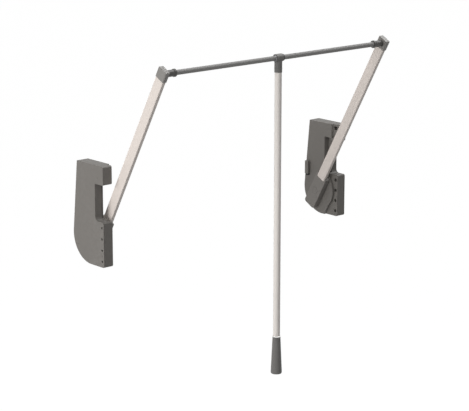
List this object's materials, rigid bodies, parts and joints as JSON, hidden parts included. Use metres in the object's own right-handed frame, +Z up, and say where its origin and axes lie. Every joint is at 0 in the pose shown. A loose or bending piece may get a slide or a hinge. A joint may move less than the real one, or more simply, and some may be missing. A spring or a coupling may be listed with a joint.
{
  "type": "pull down closet rod",
  "caption": "Wall-mounted wardrobe lift: sprung arms in side housings carry a telescopic hanging rail with a pull rod and grip.",
  "frame": {"origin": "midway between the two side walls, in the plane of the housings' front edges and level with their lower ends", "axes": "+X along the hanging rail towards the right-hand housing, +Y from the closet's front to its rear, +Z up"},
  "size_m": [0.928, 0.3591, 0.9389],
  "materials": {
    "housing_grey": "moulded, fine texture",
    "steel": "zinc plated",
    "screw_black": "black oxide",
    "spring_steel": "oiled spring steel",
    "gear_steel": "machined",
    "acetal": "natural acetal",
    "rubber_black": "matt",
    "inner_black": "glass-filled nylon",
    "knuckle_grey": "die-cast, painted grey",
    "arm_satin": "satin anodised, champagne",
    "cap_grey": "moulded",
    "socket_grey": "moulded",
    "rail_grey": "powder coated",
    "rail_inner": "plated",
    "tee_grey": "moulded",
    "rod_satin": "satin anodised",
    "ferrule": "bright",
    "grip_grey": "soft touch"
  },
  "bodies": {
    "left_housing": {"left_housing_body": "housing_grey", "left_back_plate": "housing_grey", "left_plate_screws": "screw_black", "left_inner_bush": "acetal", "left_outer_bush": "acetal", "left_rack_guide": "acetal", "left_stop_block": "housing_grey", "left_stop_buffer": "rubber_black", "left_spring_anchor": "inner_black", "left_lift_springs": "spring_steel", "left_damper_cylinder": "steel"},
    "right_housing": {"right_housing_body": "housing_grey", "right_back_plate": "housing_grey", "right_plate_screws": "screw_black", "right_inner_bush": "acetal", "right_outer_bush": "acetal", "right_rack_guide": "acetal", "right_stop_block": "housing_grey", "right_stop_buffer": "rubber_black", "right_spring_anchor": "inner_black", "right_lift_springs": "spring_steel", "right_damper_cylinder": "steel"},
    "left_arm": {"left_pivot_axle": "steel", "left_drive_pinion": "gear_steel", "left_pinion_pin": "steel", "left_arm_knuckle": "knuckle_grey", "left_pivot_screw": "steel", "left_pivot_cap": "knuckle_grey", "left_arm_profile": "arm_satin", "left_arm_rivets": "arm_satin", "left_arm_cap": "cap_grey", "left_rail_socket": "socket_grey", "left_socket_screw": "screw_black", "rail_left_tube": "rail_grey", "rail_inner_tube": "rail_inner", "rail_lock_ring": "socket_grey", "rail_lock_screw": "screw_black", "tee_clip": "steel"},
    "right_arm": {"right_pivot_axle": "steel", "right_drive_pinion": "gear_steel", "right_pinion_pin": "steel", "right_arm_knuckle": "knuckle_grey", "right_pivot_screw": "steel", "right_pivot_cap": "knuckle_grey", "right_arm_profile": "arm_satin", "right_arm_rivets": "arm_satin", "right_arm_cap": "cap_grey", "right_rail_socket": "socket_grey", "right_socket_screw": "screw_black", "rail_right_tube": "rail_grey"},
    "left_rack": {"left_spring_rack": "gear_steel", "left_damper_rod": "steel"},
    "right_rack": {"right_spring_rack": "gear_steel", "right_damper_rod": "steel"},
    "pull_rod": {"tee_connector": "tee_grey", "tee_screw": "screw_black", "pull_rod_tube": "rod_satin", "grip_ferrule": "ferrule", "pull_grip": "grip_grey", "grip_plug": "grip_grey"}
  },
  "joints": [
    {"name": "width_adjust", "type": "slide", "parent": "left_housing", "child": "right_housing", "axis": [1, 0, 0], "range_m": [0, 0.22]},
    {"name": "left_arm_pivot", "type": "hinge", "parent": "left_housing", "child": "left_arm", "pos_m": [-0.414, 0.072, 0.074], "axis": [1, 0, 0], "range_deg": [-27, 81]},
    {"name": "right_arm_pivot", "type": "hinge", "parent": "right_housing", "child": "right_arm", "pos_m": [0.414, 0.072, 0.074], "axis": [1, 0, 0], "range_deg": [-27, 81]},
    {"name": "left_rack_slide", "type": "slide", "parent": "left_housing", "child": "left_rack", "axis": [0, 0, 1], "range_m": [-0.00953, 0.02838], "deforming": ["left_lift_springs"]},
    {"name": "right_rack_slide", "type": "slide", "parent": "right_housing", "child": "right_rack", "axis": [0, 0, 1], "range_m": [-0.00953, 0.02838], "deforming": ["right_lift_springs"]},
    {"name": "pull_rod_swing", "type": "hinge", "parent": "left_arm", "child": "pull_rod", "pos_m": [0, -0.19937, 0.56156], "axis": [1, 0, 0], "range_deg": [-120, 60]}
  ],
  "couplings": [
    {"joint": "right_arm_pivot", "follows": "left_arm_pivot", "ratio": 1},
    {"joint": "left_rack_slide", "follows": "left_arm_pivot", "m_per_rad": 0.02},
    {"joint": "right_rack_slide", "follows": "left_arm_pivot", "m_per_rad": 0.02}
  ]
}
